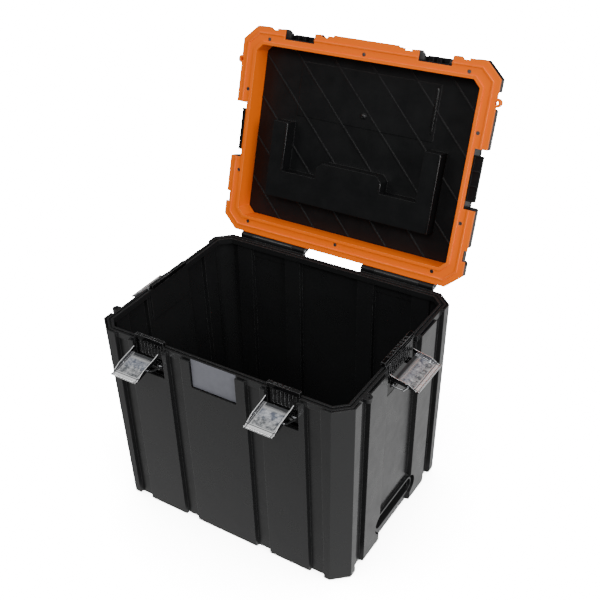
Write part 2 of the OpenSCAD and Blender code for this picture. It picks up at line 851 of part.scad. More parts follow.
module screw(shank) {
    head_t = 1.8;
    cylinder(h = head_t, r = screw_head_r, $fn = screw_fn);
    translate([0, 0, head_t - eps])
        cylinder(h = shank + eps, r = screw_r, $fn = screw_fn);
}

module ring_screws() {
    color("#6d6f73")
        opened()
            for (p = screw_spots)
                translate([p[0], p[1], flange_z + 0.1])
                    screw(screw_len);
}

module hinge_pin(s) {
    reach = hinge_w / 2 - 0.3;
    color("#b9bcc1")
        rod_x(s * hinge_x - reach, s * hinge_x + reach, hinge_y, hinge_z, hinge_pin_r);
}

// Latch: the housing stands in the pocket, the wire link turns in it and carries the lever
boss_r = 4;
boss_w = 10;
housing_t = 2.5;
grille_in = catch_in + 2.2;

module housing(lever_w, pocket_w, back, top_in) {
    plate_front = pocket_depth - housing_t;
    half = pocket_w / 2 - 1;
    block_half = lever_w / 2 - sheet_t - 2;
    boss_half = lever_w / 2 - 7;
    color("#17181a")
        difference() {
            union() {
                block([-half, plate_front, -pocket_drop], [half, pocket_depth, 0]);
                block([-half, plate_front, -eps], [half, pocket_depth, 2]);
                block([-half, plate_front, 0], [half, back, 2]);
                block([-half, top_in, 0], [half, back, housing_up]);
                block([-block_half, grille_in, -30], [block_half, plate_front + eps, 2]);
                for (s = [-1, 1])
                    translate([s * (boss_half - boss_w / 2), 0, 0]) {
                        rod_x(-boss_w / 2, boss_w / 2, pivot_in, -pivot_drop, boss_r);
                        block([-boss_w / 2, pivot_in, -pivot_drop - boss_r],
                            [boss_w / 2, plate_front + eps, boss_r - pivot_drop]);
                    }
            }
            rod_x(-boss_half - eps, boss_half + eps, pivot_in, -pivot_drop, wire_r + pin_clear,
                $fn = wire_fn);
            for (x = [-block_half + 4 : 8 : block_half - 6])
                block([x, grille_in - eps, -31], [x + 4, grille_in + 1, -2]);
            for (x = [-block_half + 5 : 10 : block_half - 8])
                block([x, top_in + 1.5, housing_up - 3], [x + 5, back - 1.5, housing_up + eps]);
            for (s = [-1, 1])
                translate([s * housing_screw_x(lever_w), pocket_depth + eps, housing_screw_z])
                    rotate([90, 0, 0])
                        cylinder(h = 4, r = screw_r + 0.2, $fn = screw_fn);
        }
}

housing_screw_z = -54;
function housing_screw_x(lever_w) = lever_w / 2 - 14;

module housing_screw_pair(lever_w) {
    for (s = [-1, 1])
        translate([s * housing_screw_x(lever_w), pocket_depth - housing_t - 1.9, housing_screw_z])
            rotate([-90, 0, 0])
                screw(2.4);
}

module housing_screws() {
    color("#b9bcc1")
        at_each_latch_pair() {
            housing_screw_pair(front_lever_w);
            housing_screw_pair(end_lever_w);
        }
}

// Length of the link, from its lower pivot to the lever's pivot when shut
function link_len(reach, hook_up) = norm([pivot_in - shut_pivot_in, hook_up - reach + pivot_drop]);
front_link_len = link_len(front_reach, front_hook_up);
end_link_len = link_len(end_reach, end_hook_up);

// Rings of a bent wire: each goes on along its run to the mitre plane at the next point
function unit(v) = v / norm(v);

function wire_rings(path, ring, k) =
    let (run = unit(path[k + 1] - path[k]), last = k + 2 == len(path),
        mitre = last ? run : unit(run + unit(path[k + 2] - path[k + 1])),
        next = [for (q = ring) q + run * ((path[k + 1] - q) * mitre) / (run * mitre)])
    concat([ring], last ? [next] : wire_rings(path, next, k + 1));

// Wire bent along a path that sets off to -X
module bent_wire(path) {
    skin(wire_rings(path, [for (i = [0:wire_fn - 1])
        path[0] + wire_r * [0, sin(360 * i / wire_fn), cos(360 * i / wire_fn)]], 0));
}

module link(lever_w, far, rest, bow) {
    half = lever_w / 2 + wire_r + 0.4;
    stub = lever_w / 2 - sheet_t - 2;
    bow_at = 0.7;
    color("#c9ccd1")
        translate([0, pivot_in, -pivot_drop])
            rotate([-rest, 0, 0])
                bent_wire([[-stub, -far, 0], [-half, -far, 0], [-half, bow_at * -far, -bow], [-half, 0, 0],
                    [half, 0, 0], [half, bow_at * -far, -bow], [half, -far, 0], [stub, -far, 0]]);
}

// The hook's lip lies just behind the ridge when shut; the hook fits between the pivot blocks
hook_in = catch_in + ridge_t + hook_gap - shut_pivot_in;
roll_in = plate_in - 1.2;
function hook_half(w) = w / 2 - hook_side_in;

// Pressed lever, drawn shut round its pivot: the plate hangs in front, the hook points back
module lever_body(w, reach, length) {
    half = w / 2;
    foot = reach - length;
    back = plate_in + sheet_t;
    top = back - lever_flange - sheet_t;
    flange_foot = 5;
    difference() {
        union() {
            block([-half, plate_in, foot + lever_foot_h], [half, back, reach]);
            block([-half, plate_in - sheet_t, foot], [half, back - sheet_t, foot + lever_foot_h + sheet_t]);
            rod_x(-half, half, roll_in, foot, lever_roll_r, $fn = wire_fn);
            block([-hook_half(w), plate_in, reach - sheet_t], [hook_half(w), hook_in + sheet_t, reach]);
            block([-hook_half(w), hook_in, reach - hook_drop], [hook_half(w), hook_in + sheet_t, reach]);
            for (s = [-1, 1])
                along_x(s > 0 ? half - sheet_t : -half, s > 0 ? half : sheet_t - half,
                    [[back, foot + flange_foot], [back, reach], [plate_in - 3, reach + lever_ear],
                    [top - 0.5, reach + lever_ear + 0.5], [top + 0.5, reach - 4],
                    [top, reach - length * 0.3], [top, reach - length * 0.6],
                    [plate_in - 2, foot + flange_foot]]);
            block([-half + 8, plate_in - 0.8, foot + 16], [half - 8, plate_in + eps, reach - 10]);
            for (z = [reach - 7 : 3 : reach - 2])
                rod_x(-half + 8, half - 8, plate_in, z, 0.8, $fn = 8);
        }
        rod_x(-half - eps, half + eps, 0, 0, wire_r + pin_clear, $fn = wire_fn);
    }
}

module lever(w, reach, length, far, link_rest, slope) {
    color("#d4d6da")
        translate([0, pivot_in - far * cos(link_rest), far * sin(link_rest) - pivot_drop])
            rotate([slope - 90, 0, 0])
                lever_body(w, reach, length);
}

module front_housing(x) {
    at_front(x)
        housing(front_lever_w, front_pocket_w, front_housing_back, front_top_in);
}

module end_housing(s) {
    at_end(s)
        housing(end_lever_w, end_pocket_w, end_housing_back, end_top_in);
}

module front_link(x) {
    at_front(x)
        link(front_lever_w, front_link_len, front_link_rest, front_link_bow);
}

module end_link(s) {
    at_end(s)
        link(end_lever_w, end_link_len, end_link_rest, end_link_bow);
}

module front_lever(x) {
    at_front(x)
        lever(front_lever_w, front_reach, front_lever_len, front_link_len, front_link_rest, lever_rest);
}

module end_lever(s, slope) {
    at_end(s)
        lever(end_lever_w, end_reach, end_lever_len, end_link_len, end_link_rest, slope);
}

// Carry handle
handle_z = bin_h + lid_h - 3 - arm_t / 2;

module handle_body() {
    grip_half = arm_x - arm_w / 2 + eps;
    for (s = [-1, 1]) {
        block([s * arm_x - arm_w / 2, handle_y, handle_z - arm_t / 2],
            [s * arm_x + arm_w / 2, grip_y + grip_w / 2 - 6, handle_z + arm_t / 2]);
        rod_x(s * arm_x - arm_w / 2, s * arm_x + arm_w / 2, handle_y, handle_z, arm_t / 2);
        rod_x(s * arm_x - arm_w / 2, s * arm_x + arm_w / 2, grip_y + grip_w / 2 - 6, handle_z, arm_t / 2);
    }
    intersection() {
        rotate([90, 0, 90])
            translate([0, 0, -grip_half])
                linear_extrude(2 * grip_half)
                    offset(6)
                        translate([grip_y, bin_h + lid_h - 3 - grip_t / 2])
                            square([grip_w - 12, grip_t - 12], center = true);
        block([-arm_x, grip_y - grip_w, bin_h], [arm_x, grip_y + grip_w, bin_h + lid_h]);
    }
}

module carry_handle() {
    color("#1f2022")
        opened()
            difference() {
                handle_body();
                rod_x(-arm_x - arm_w, arm_x + arm_w, handle_y, handle_z, handle_pin_r + pin_clear);
            }
}

module handle_pin(s) {
    reach = arm_w / 2 + well_gap + wall - 0.7;
    color("#b9bcc1")
        opened()
            rod_x(s * arm_x - reach, s * arm_x + reach, handle_y, handle_z, handle_pin_r);
}

// Reach of the open case to the back and to the front, which sets the origin
function opened_y(y, z) = hinge_y + (y - hinge_y) * cos(lid_open) + (z - hinge_z) * sin(lid_open);
back_tip = opened_y(platform_inset + 1.5 - half_d, bin_h + lid_h);
front_tip = half_d - pivot_in + front_link_len * cos(front_link_rest)
    + (front_lever_len - front_reach) * cos(lever_rest) - roll_in * sin(lever_rest) + lever_roll_r;

module placed() {
    translate([0, (front_tip - back_tip) / 2, 0])
        children();
}

placed() bin_shell();
placed() label_plate();
placed() lid_shell();
placed() lid_ring();
placed() ring_screws();
placed() hinge_pin(-1);  // hinge_pin_left
placed() hinge_pin(1);  // hinge_pin_right
placed() carry_handle();
placed() handle_pin(-1);  // handle_pin_left
placed() handle_pin(1);  // handle_pin_right
placed() front_housing(-latch_x);  // housing_front_left
placed() front_housing(latch_x);  // housing_front_right
placed() end_housing(-1);  // housing_left
placed() end_housing(1);  // housing_right
placed() housing_screws();
placed() front_link(-latch_x);  // link_front_left
placed() front_link(latch_x);  // link_front_right
placed() end_link(-1);  // link_left
placed() end_link(1);  // link_right
placed() front_lever(-latch_x);  // lever_front_left
placed() front_lever(latch_x);  // lever_front_right
placed() end_lever(-1, left_lever_rest);  // lever_left
placed() end_lever(1, lever_rest);  // lever_right
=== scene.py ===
"""Stackable tool case, open: materials, softened edges, small moulded details, camera and light."""

import json
import math

import bmesh
import bpy
from mathutils import Matrix, Vector


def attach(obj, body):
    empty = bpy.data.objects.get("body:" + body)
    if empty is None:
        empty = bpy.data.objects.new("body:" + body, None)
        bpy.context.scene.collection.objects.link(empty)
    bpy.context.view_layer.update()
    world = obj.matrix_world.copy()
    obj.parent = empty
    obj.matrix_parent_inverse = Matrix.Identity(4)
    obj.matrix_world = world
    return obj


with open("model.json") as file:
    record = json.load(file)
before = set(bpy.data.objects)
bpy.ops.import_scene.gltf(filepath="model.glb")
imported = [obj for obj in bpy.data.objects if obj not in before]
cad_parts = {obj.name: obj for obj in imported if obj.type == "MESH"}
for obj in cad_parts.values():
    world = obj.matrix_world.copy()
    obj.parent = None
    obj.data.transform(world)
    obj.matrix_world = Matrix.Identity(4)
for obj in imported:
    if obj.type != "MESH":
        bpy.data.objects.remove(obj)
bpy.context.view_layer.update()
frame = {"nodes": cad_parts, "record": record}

SLOTS = {part["node"]: part["material_slot"] for part in frame["record"]["subparts"]}
JOINTS = {joint["name"]: joint for joint in frame["record"]["behaviour"]["joints"]}

# Camera, fitted to the photograph
CAMERA_PLACE = Vector((0.8772, -1.3496, 1.4457))
CAMERA_RIGHT = Vector((0.8245, 0.5633, -0.0543))
CAMERA_UP = Vector((-0.2786, 0.4875, 0.8275))
CAMERA_LENS = 58.96
CAMERA_SENSOR = 36.0
CAMERA_SHIFT = (0.0984, 0.0412)

# Stage: the floor's half width, its light and the spread of that light in degrees; the dome's
# radius, its light, its rings and sides, and the angle from its top down to its lower edge
FLOOR_HALF = 12.0
FLOOR_LIGHT, FLOOR_LIGHT_SPREAD = 70.0, 120
DOME_RADIUS, DOME_LIGHT = 30.0, 20.0
DOME_RINGS, DOME_SIDES = 12, 48
DOME_REACH = math.pi * 0.62

# World: sine of the elevation and the strength of the light from there
SKY_BANDS = [(-1.0, 1.0), (-0.35, 1.0), (-0.15, 0.25), (-0.05, 0.05), (0.25, 0.05), (0.5, 0.6), (1.0, 1.5)]
# The world is dimmer towards the front: its strength there, and the Y of a direction where that
# strength is reached and where the dimming ends
FRONT_DIM, FRONT_DIM_FULL, FRONT_DIM_END = 0.22, -0.9, -0.2
# Soft boxes: place, target, size and power
SOFT_BOXES = [
    ("front_box", (0.9, -2.8, 3.0), (0, 0, 0.5), (2.0, 1.6), 74),
    ("right_box", (3.2, -0.6, 1.9), (0, 0, 0.3), (2.0, 1.6), 60),
    ("strip_box", (2.9, -1.5, 0.9), (0, 0.2, 0.6), (0.5, 1.2), 22),
    ("left_box", (-1.7, -2.0, 2.7), (0, 0, 0.4), (1.0, 0.8), 16),
]

# Radius of the rounded edges, and the samples that soften them
PLASTIC_ROUNDING = 0.0009
LID_ROUNDING = 0.0016
METAL_ROUNDING = 0.0004
BEVEL_SAMPLES = 6

# How far a rounded edge's normal leans before its painted highlight and wear start, and where they are
# full
GLINT_AND_WEAR_FROM, GLINT_AND_WEAR_TO = 0.03, 0.3
# The edges' painted highlight and wear are broken up by patches: the noise where they are least and full,
# and the least of them
BROKEN_FROM, BROKEN_TO, BROKEN_LEAST = 0.4, 0.6, 0.4
# Noise scales of plastic: fine grain, slow waviness, patches
GRAIN_SCALE, WAVE_SCALE, PATCH_SCALE = 2600.0, 9.0, 30.0
# Depth of the grain, strength and depth of the waviness
GRAIN_DEPTH, WAVE_RELIEF, WAVE_DEPTH = 0.0001, 0.2, 0.002
# Patches and clouds change the roughness: the noise from and to which, and by how much
GLOSS_FROM, GLOSS_TO = 0.3, 0.7
PLASTIC_SMOOTHER, PLASTIC_ROUGHER, METAL_SPREAD = 0.05, 0.06, 0.03
# How steeply a face of black plastic has to point up to be duller, and what it keeps of its shine
LEVEL_FROM, LEVEL_TO, LEVEL_SHINE = 0.7, 0.95, 0.3
# Metal: noise scales of clouds and fine specks, the noise where the clouds' colour changes, and
# the specks' relief
CLOUD_SCALE, SPECK_SCALE = 60.0, 900.0
CLOUD_FROM, CLOUD_TO = 0.35, 0.7
SPECK_RELIEF, SPECK_DEPTH = 0.2, 0.00004
# Label card: noise scale, how much paler its pale patches are, its roughness and relief
CARD_SCALE, CARD_PALE, CARD_ROUGH = 70.0, 1.12, 0.42
CARD_RELIEF, CARD_DEPTH = 0.15, 0.0003

# Lever colours: bright sheet; the panel near the pivot and far from it, painted with a dull bluish
# reflection; the flanges' sides, darker as painted reflection; and the root by the hook, a painted dark
# reflection, whose colour the line round the panel shares
LEVER_BRIGHT = (0.95, 0.955, 0.96)
LEVER_PANEL_REFLECTION = (0.12, 0.135, 0.175)
LEVER_PANEL_FAR_REFLECTION = (0.1, 0.107, 0.115)
LEVER_FLANGE_REFLECTION = (0.12, 0.12, 0.13)
LEVER_ROOT_REFLECTION_AND_LINE = (0.04, 0.042, 0.045)
# Roughness and metallic value of the bright sheet and of the panel
LEVER_ROUGH = (0.2, 0.34)
LEVER_METAL = (1.0, 0.5)
# Half the width of the dark line, and the shares of it where the line is full and where it ends
LEVER_LINE, LINE_FULL, LINE_END = 0.0009, 0.6, 1.4
# How wide the panel's edges, the change between its two painted reflection colours and the fade of the
# root's painted reflection are
PANEL_FADE, PANEL_END_FADE, PANEL_CHANGE = 0.004, 0.003, 0.006
ROOT_FROM, ROOT_TO = -0.006, 0.008
# Panel: noise scales of mottle and clouds, the sum where its colour starts and where it is full,
# and the least of it
MOTTLE_SCALE, PANEL_CLOUD_SCALE = 210.0, 90.0
MOTTLE_FROM, MOTTLE_TO, MOTTLE_LEAST = 0.7, 1.12, 0.35
MOTTLE_RELIEF, MOTTLE_DEPTH = 0.7, 0.0008
# How squarely a face has to point sideways to have the flanges' painted darker reflection
FLANGE_FROM, FLANGE_TO = 0.7, 0.9
# Levers: the way each points from its pivot, its slope, and the panel's inner, outer and half sizes
LEVERS = {
    "front_left": ((0, -1, 0), 12, (-0.019, 0.024, 0.0255)),
    "front_right": ((0, -1, 0), 12, (-0.019, 0.024, 0.0255)),
    "left": ((-1, 0, 0), 20, (-0.019, 0.011, 0.0435)),
    "right": ((1, 0, 0), 12, (-0.019, 0.011, 0.0435)),
}

# Sockets of a Mix node that mixes colours
MIX_FACTOR, MIX_FIRST, MIX_SECOND, MIX_RESULT = 0, 6, 7, 2


# Materials
class Surface:
    """A new node material, with short ways to add nodes to it."""

    def __init__(self, name):
        self.material = bpy.data.materials.new(name)
        self.material.use_nodes = True
        self.tree = self.material.node_tree
        self.shader = self.tree.nodes["Principled BSDF"]
        self.place = None

    def add(self, kind, **values):
        node = self.tree.nodes.new(kind)
        for key, value in values.items():
            if key in node.inputs:
                node.inputs[key].default_value = value
            else:
                setattr(node, key, value)
        return node

    def feed(self, value, socket):
        """Links a socket's value to a socket, or sets a number, colour or direction on it."""
        if isinstance(value, bpy.types.NodeSocket):
            self.tree.links.new(value, socket)
        elif socket.type == "RGBA":
            socket.default_value = (*value, 1)
        else:
            socket.default_value = value

    def shade(self, **values):
        """Feeds the shader's sockets, named with _ for a space."""
        for key, value in values.items():
            self.feed(value, self.shader.inputs[key.replace("_", " ")])

    def coordinates(self):
        """Object coordinates, from one node for the whole material."""
        if self.place is None:
            self.place = self.add("ShaderNodeTexCoord").outputs["Object"]
        return self.place

    def noise(self, scale, detail=2.0, rough=0.5):
        node = self.add("ShaderNodeTexNoise", Scale=scale, Detail=detail, Roughness=rough)
        self.feed(self.coordinates(), node.inputs["Vector"])
        return node.outputs["Fac"]

    def maths(self, operation, *values):
        """Result of a math node; each value is a socket or a number."""
        node = self.add("ShaderNodeMath", operation=operation)
        for value, socket in zip(values, node.inputs):
            self.feed(value, socket)
        return node.outputs[0]

    def dot(self, first, second):
        node = self.add("ShaderNodeVectorMath", operation="DOT_PRODUCT")
        self.feed(first, node.inputs[0])
        self.feed(second, node.inputs[1])
        return node.outputs["Value"]

    def ranged(self, value, low, high, to_low, to_high):
        """Maps a value from one range to another."""
        node = self.add("ShaderNodeMapRange")
        ends = {"Value": value, "From Min": low, "From Max": high, "To Min": to_low, "To Max": to_high}
        for key, end in ends.items():
            self.feed(end, node.inputs[key])
        return node.outputs["Result"]

    def mixed(self, factor, first, second):
        """Colour between two colours."""
        node = self.add("ShaderNodeMix", data_type="RGBA")
        self.feed(factor, node.inputs[MIX_FACTOR])
        self.feed(first, node.inputs[MIX_FIRST])
        self.feed(second, node.inputs[MIX_SECOND])
        return node.outputs[MIX_RESULT]

    def normal(self):
        """Normal of the facets."""
        return self.add("ShaderNodeNewGeometry").outputs["Normal"]

    def rounded(self, radius):
        """Normal that softens the edges between flat facets."""
        return self.add("ShaderNodeBevel", Radius=radius, samples=BEVEL_SAMPLES).outputs["Normal"]

    def edge_mask(self, softened, normal):
        """1 on the rounded edges and 0 on the flats between them."""
        return self.ranged(self.dot(softened, normal), 1 - GLINT_AND_WEAR_TO, 1 - GLINT_AND_WEAR_FROM, 1.0, 0.0)

    def bump(self, height, strength, distance, before=None):
        """Relief from a height, on top of another normal where one is given."""
        node = self.add("ShaderNodeBump", Strength=strength, Distance=distance)
        self.feed(height, node.inputs["Height"])
        if before is not None:
            self.feed(before, node.inputs["Normal"])
        return node.outputs["Normal"]


def plastic(name, colour, glint_and_wear, rough, specular, grain=0.25, rounding=PLASTIC_ROUNDING, dull_top=0.0):
    """Moulded plastic: fine grain, slow waviness, lighter edges painted as highlight and wear, and duller
    level faces.
    """
    surface = Surface(name)
    fine = surface.noise(GRAIN_SCALE, 3.0)
    waves = surface.noise(WAVE_SCALE)
    patches = surface.noise(PATCH_SCALE, 4.0, 0.6)
    normal = surface.normal()
    softened = surface.rounded(rounding)
    broken = surface.ranged(patches, BROKEN_FROM, BROKEN_TO, BROKEN_LEAST, 1.0)
    # Lighter edges: a painted highlight with some wear, broken up by patches
    glint_and_wear_mask = surface.maths("MULTIPLY", surface.edge_mask(softened, normal), broken)
    gloss = surface.ranged(patches, GLOSS_FROM, GLOSS_TO, rough - PLASTIC_SMOOTHER,
                           rough + PLASTIC_ROUGHER)
    shine = specular
    if dull_top:
        parts = surface.add("ShaderNodeSeparateXYZ")
        surface.feed(normal, parts.inputs["Vector"])
        upward = parts.outputs["Z"]
        gloss = surface.maths("ADD", gloss, surface.ranged(upward, LEVEL_FROM, LEVEL_TO, 0.0, dull_top))
        shine = surface.ranged(upward, LEVEL_FROM, LEVEL_TO, specular, specular * LEVEL_SHINE)
    shaped = surface.bump(waves, WAVE_RELIEF, WAVE_DEPTH, softened)
    surface.shade(Base_Color=surface.mixed(glint_and_wear_mask, colour, glint_and_wear), Specular_IOR_Level=shine,
                  Roughness=gloss, Normal=surface.bump(fine, grain, GRAIN_DEPTH, shaped))
    return surface.material


def metal(name, colour, dark, rough):
    """Plated or drawn metal with faint cloudiness and fine specks."""
    surface = Surface(name)
    clouds = surface.noise(CLOUD_SCALE, 4.0, 0.6)
    specks = surface.noise(SPECK_SCALE)
    tint = surface.ranged(clouds, CLOUD_FROM, CLOUD_TO, 0.0, 1.0)
    gloss = surface.ranged(clouds, GLOSS_FROM, GLOSS_TO, rough - METAL_SPREAD, rough + METAL_SPREAD)
    relief = surface.bump(specks, SPECK_RELIEF, SPECK_DEPTH, surface.rounded(METAL_ROUNDING))
    surface.shade(Base_Color=surface.mixed(tint, dark, colour), Metallic=1.0, Roughness=gloss,
                  Normal=relief)
    return surface.material


def lever_metal(name, pivot, outward, across, sizes):
    """Plated sheet of a lever: bright ends and edges round a mottled panel painted with a dull bluish
    reflection, a painted dark reflection at the root by the hook, and flange sides darkened as painted
    reflection.
    """
    inner, outer, half_width = sizes
    surface = Surface(name)

    def along(direction):
        """Distance from the pivot in a direction of the lever's own."""
        reach = surface.dot(surface.coordinates(), direction)
        return surface.maths("SUBTRACT", reach, pivot.dot(direction))

    def near(value, mark):
        """1 on a thin line at a mark, 0 beside it."""
        away = surface.maths("ABSOLUTE", surface.maths("SUBTRACT", value, mark))
        return surface.ranged(away, LEVER_LINE * LINE_FULL, LEVER_LINE * LINE_END, 1.0, 0.0)

    run = along(outward)
    side = surface.maths("ABSOLUTE", along(across))
    ends = surface.maths("MULTIPLY", surface.ranged(run, inner, inner + PANEL_FADE, 0.0, 1.0),
                         surface.ranged(run, outer - PANEL_END_FADE, outer, 1.0, 0.0))
    inside = surface.ranged(side, half_width - PANEL_FADE, half_width, 1.0, 0.0)
    panel = surface.maths("MULTIPLY", ends, inside)
    mottle = surface.noise(MOTTLE_SCALE, 8.0, 0.72)
    spread = surface.maths("ADD", mottle, surface.noise(PANEL_CLOUD_SCALE, 4.0, 0.65))
    mottled = surface.ranged(spread, MOTTLE_FROM, MOTTLE_TO, MOTTLE_LEAST, 1.0)
    patches = surface.maths("MULTIPLY", panel, mottled)
    middle = (inner + outer) / 2
    further = surface.ranged(run, middle - PANEL_CHANGE, middle + PANEL_CHANGE, 0.0, 1.0)
    # Painted dark reflection of the black housing at the root by the hook
    root_reflection = surface.maths("MULTIPLY", inside,
                         surface.ranged(run, inner + ROOT_FROM, inner + ROOT_TO, 1.0, 0.0))
    lines = surface.maths("MAXIMUM", near(side, half_width), near(run, outer + LEVER_LINE))
    # The root's painted dark reflection together with the dark line round the panel
    dark = surface.maths("MAXIMUM", root_reflection, lines)
    dull = surface.maths("MAXIMUM", panel, dark)
    # The flanges' sides are darkened as a painted reflection
    sideways = surface.maths("ABSOLUTE", surface.dot(surface.normal(), across))
    flange_reflection = surface.ranged(sideways, FLANGE_FROM, FLANGE_TO, 0.0, 1.0)
    sheet = surface.mixed(flange_reflection, LEVER_BRIGHT, LEVER_FLANGE_REFLECTION)
    # The panel is painted with a dull bluish reflection, mottled
    painted = surface.mixed(patches, sheet, surface.mixed(further, LEVER_PANEL_REFLECTION, LEVER_PANEL_FAR_REFLECTION))
    surface.shade(Base_Color=surface.mixed(dark, painted, LEVER_ROOT_REFLECTION_AND_LINE),
                  Roughness=surface.ranged(dull, 0.0, 1.0, *LEVER_ROUGH),
                  Metallic=surface.ranged(dull, 0.0, 1.0, *LEVER_METAL),
                  Normal=surface.bump(mottle, MOTTLE_RELIEF, MOTTLE_DEPTH,
                                      surface.rounded(METAL_ROUNDING)))
    return surface.material


def card(name, colour):
    """Smooth label card with a soft mottle."""
    surface = Surface(name)
    mottle = surface.noise(CARD_SCALE, 3.0)
    tone = surface.ranged(mottle, GLOSS_FROM, GLOSS_TO, 0.0, 1.0)
    pale = tuple(min(1.0, CARD_PALE * part) for part in colour)
    surface.shade(Base_Color=surface.mixed(tone, colour, pale), Roughness=CARD_ROUGH,
                  Normal=surface.bump(mottle, CARD_RELIEF, CARD_DEPTH))
    return surface.material


def even(name, **values):
    """Material of the stage, the same all over."""
    surface = Surface(name)
    surface.shade(**values)
    return surface.material


# glint_and_wear: the colour of the edges' painted highlight and wear
MATERIALS = {
    "black_plastic": plastic("black_plastic", colour=(0.011, 0.0112, 0.0116), glint_and_wear=(0.1, 0.1, 0.102),
                             rough=0.3, specular=0.5, dull_top=0.35),
    "orange_plastic": plastic("orange_plastic", colour=(0.95, 0.152, 0.0), glint_and_wear=(1.0, 0.55, 0.2),
                              rough=0.5, specular=0.05),
    "bright_zinc": metal("bright_zinc", colour=(0.83, 0.84, 0.85), dark=(0.68, 0.69, 0.71), rough=0.2),
    "pin_steel": metal("pin_steel", colour=(0.6, 0.61, 0.63), dark=(0.42, 0.43, 0.45), rough=0.32),
    "screw_steel": metal("screw_steel", colour=(0.3, 0.29, 0.28), dark=(0.16, 0.16, 0.16), rough=0.36),
    "label_card": card("label_card", colour=(0.17, 0.173, 0.198)),
}
# Black plastics that differ from the record's slot in gloss and in their edges' painted highlight and wear
# (pale painted glints on the latch housings): latch housings, the scene's own small forms on the lid, and
# the lid with its handle
HOUSING_BLACK = plastic("housing_black", colour=(0.003, 0.003, 0.0032), glint_and_wear=(0.42, 0.42, 0.43),
                        rough=0.12, specular=0.12, grain=0.1)
EDGE_BLACK = plastic("edge_black", colour=(0.006, 0.0062, 0.0066), glint_and_wear=(0.02, 0.02, 0.021),
                     rough=0.26, specular=0.5)
LID_BLACK = plastic("lid_black", colour=(0.006, 0.0062, 0.0066), glint_and_wear=(0.02, 0.02, 0.021),
                    rough=0.38, specular=0.24, rounding=LID_ROUNDING)


def lever_material(name):
    level, slope, sizes = LEVERS[name]
    drop = math.radians(slope)
    outward = Vector(level) * math.cos(drop) + Vector((0, 0, -math.sin(drop)))
    pivot = Vector(JOINTS["lever_pivot_" + name]["pos_m"])
    across = outward.cross(Vector((0, 0, 1))).normalized()
    return lever_metal("lever_" + name, pivot, outward, across, sizes)


def material_of(node_name):
    if node_name.startswith("lever_"):
        return lever_material(node_name.removeprefix("lever_"))
    if node_name.startswith("housing_") and node_name != "housing_screws":
        return HOUSING_BLACK
    if node_name in ("lid_shell", "carry_handle"):
        return LID_BLACK
    return MATERIALS[SLOTS[node_name]]


for node_name, node_object in frame["nodes"].items():
    node_object.data.materials.clear()
    node_object.data.materials.append(material_of(node_name))


# Small moulded forms of the scene's own. Their places are given in millimetres from the middle of
# the bin's floor, with the lid shut, and the hinge's axis ties them to the frame.
HINGE = Vector(JOINTS["lid_hinge"]["pos_m"])
HINGE_Y, HINGE_Z = 220.2, 417.3
LID_OPEN = math.radians(JOINTS["lid_hinge"]["range_deg"][1])

# Gussets: each hinge's middle, its half width and the half width between its gussets; the radius
# kept clear round the barrel and the arc of it that a gusset follows; the rest of the profile
HINGE_X, HINGE_HALF, KNUCKLE_HALF = 146.0, 79.0, 48.4
BARREL_CLEAR, BARREL_ARC = 7.2, (203, 222, 241, 260, 280)
GUSSET_TOP = [(-9.0, -3.0)]
GUSSET_FOOT = [(2.0, -10.0), (2.0, -14.0), (-9.0, -27.0)]

# The hand-hold's oval bay: its floor, middle height and round end. The web behind that end, a hair
# inside the bay's faces: its skins and reach along X, its wall, where it starts, and its steps
BAY_FLOOR_X, BAY_Z, BAY_END_Y, BAY_RADIUS = 258.4, 44.0, 60.0, 24.1
WEB_INNER, WEB_OUTER, WEB_REACH, WEB_WALL, WEB_START_Y, WEB_STEPS = -2.9, -0.1, 7.2, 3.0, 67.6, 24

# Handle hump on the lid's inner side: its face, its arms, the half width of its bar's bay, and its
# front, back, bar and bay along Y
HUMP_Z, ARM_OUTER, ARM_INNER, HUMP_HALF = 425.0, 187.0, 153.0, 74.0
HUMP_FRONT, HUMP_BACK, HUMP_BAR, HUMP_BAY = -32.0, 124.5, 68.0, 35.0
# Rounded edges: place along X, start and end along Y; radius, how far in the middle lies, sides,
# and the share of the size at distances from both ends
HUMP_EDGES = [
    ("hump_round_right", ARM_OUTER, HUMP_FRONT + 1, HUMP_BACK - 1),
    ("hump_round_left", -ARM_INNER, HUMP_FRONT + 1, HUMP_BAR - 1),
    ("bay_round", HUMP_HALF, HUMP_BAY + 12, HUMP_BAR - 1),
]
EDGE_RADIUS, EDGE_INSET, EDGE_SIDES = 2.4, 1.6, 16
EDGE_TAPER = [(0.0, 0.5), (1.2, 0.85), (3.0, 1.0)]

# Ridge on the panel: the panel's face, place along X, start and end along Y, half width, height,
# how deep it is rooted, steps across and the share of its size at distances from both ends
PANEL_Z, RIDGE_X, RIDGE_START, RIDGE_END = 455.8, 146.0, -150.0, -59.0
RIDGE_HALF, RIDGE_HEIGHT, RIDGE_ROOT, RIDGE_STEPS = 3.0, 1.5, 0.4, 12
RIDGE_TAPER = [(0.0, 0.2), (3.0, 0.75), (8.0, 1.0)]

# Dome on the panel's boss: place, radius, height, sides and the shares of the height of its rings
BOSS_X, BOSS_Y, BOSS_Z = 0.0, -70.0, 454.0
BOSS_RADIUS, BOSS_HEIGHT, BOSS_SIDES = 5.4, 2.6, 24
BOSS_SHARES = (0.0, 0.35, 0.6, 0.8, 0.93, 0.995)


def on_bin(x, y, z):
    return Vector((x / 1000, HINGE.y + (y - HINGE_Y) / 1000, HINGE.z + (z - HINGE_Z) / 1000))


def on_lid(x, y, z):
    """The place on the lid as it stands open."""
    y, z = (y - HINGE_Y) / 1000, (z - HINGE_Z) / 1000
    cosine, sine = math.cos(LID_OPEN), math.sin(LID_OPEN)
    return Vector((x / 1000, HINGE.y + y * cosine + z * sine, HINGE.z - y * sine + z * cosine))


